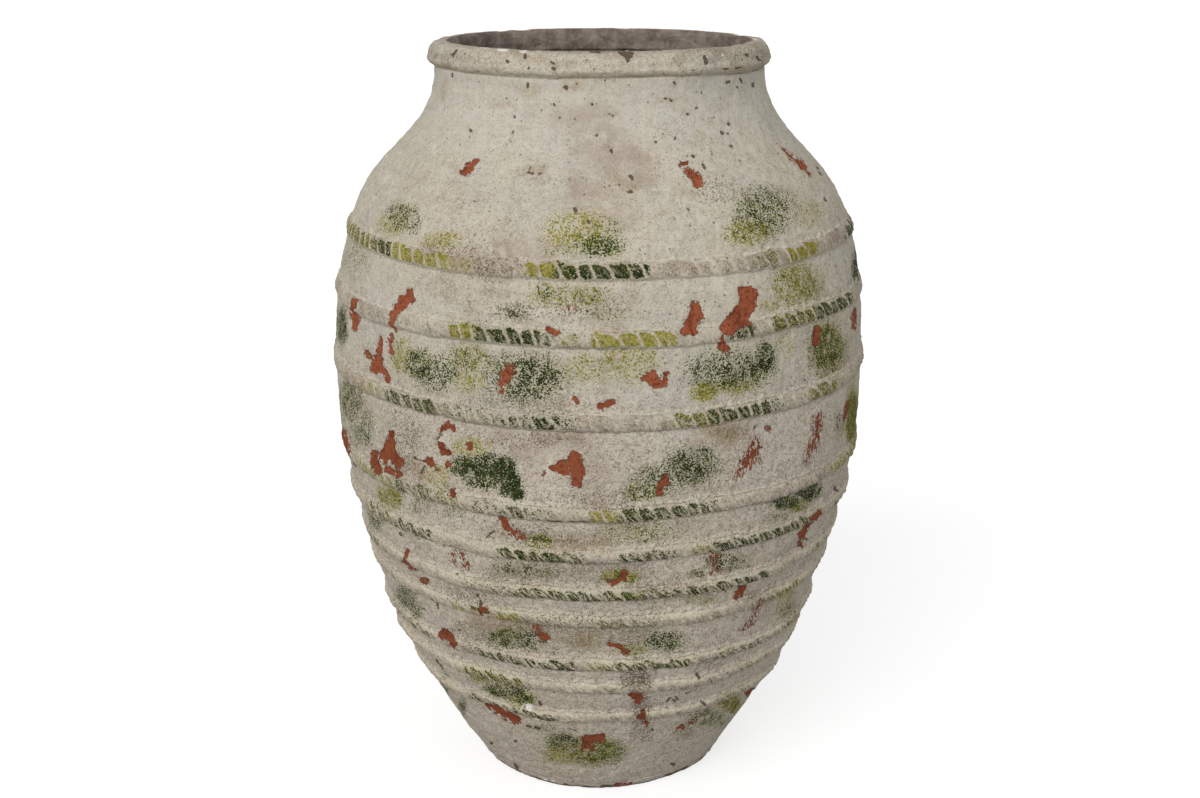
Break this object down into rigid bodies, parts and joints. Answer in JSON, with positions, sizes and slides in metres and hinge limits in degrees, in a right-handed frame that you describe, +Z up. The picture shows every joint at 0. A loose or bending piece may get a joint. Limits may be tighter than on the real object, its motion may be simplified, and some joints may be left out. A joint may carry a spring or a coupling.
{
  "type": "storage jar",
  "caption": "Tall swelling clay storage jar with a narrow neck, a rolled rim and rope bands round its wall, for grain, oil or water.",
  "frame": {"origin": "centre of the underside of the foot, on the floor that the jar stands on", "axes": "+Z up along the jar's axis, -Y towards the picture's viewer, +X to that viewer's right"},
  "size_m": [0.651, 0.651, 0.9],
  "materials": {
    "limewashed_clay": "matt fired clay under worn pale limewash, dabbed with green and yellow, chipped to red clay",
    "painted_rope_clay": "matt limewashed rope band, its twist marks filled with worn green and yellow paint",
    "bare_clay": "matt bare fired clay"
  },
  "bodies": {
    "root": {"floor_slab": "bare_clay", "floor_seal_coil": "bare_clay", "foot_course": "limewashed_clay", "lower_wall_course": "limewashed_clay", "middle_wall_course": "limewashed_clay", "lower_belly_course": "limewashed_clay", "belly_course": "limewashed_clay", "upper_belly_course": "limewashed_clay", "lower_shoulder_course": "limewashed_clay", "shoulder_and_neck_course": "limewashed_clay", "rim_roll": "limewashed_clay", "rope_band_01": "painted_rope_clay", "rope_band_02": "painted_rope_clay", "rope_band_03": "painted_rope_clay", "rope_band_04": "painted_rope_clay", "rope_band_05": "painted_rope_clay", "rope_band_06": "painted_rope_clay", "rope_band_07": "painted_rope_clay", "rope_band_08": "painted_rope_clay", "rope_band_09": "painted_rope_clay", "rope_band_10": "painted_rope_clay"}
  },
  "joints": []
}
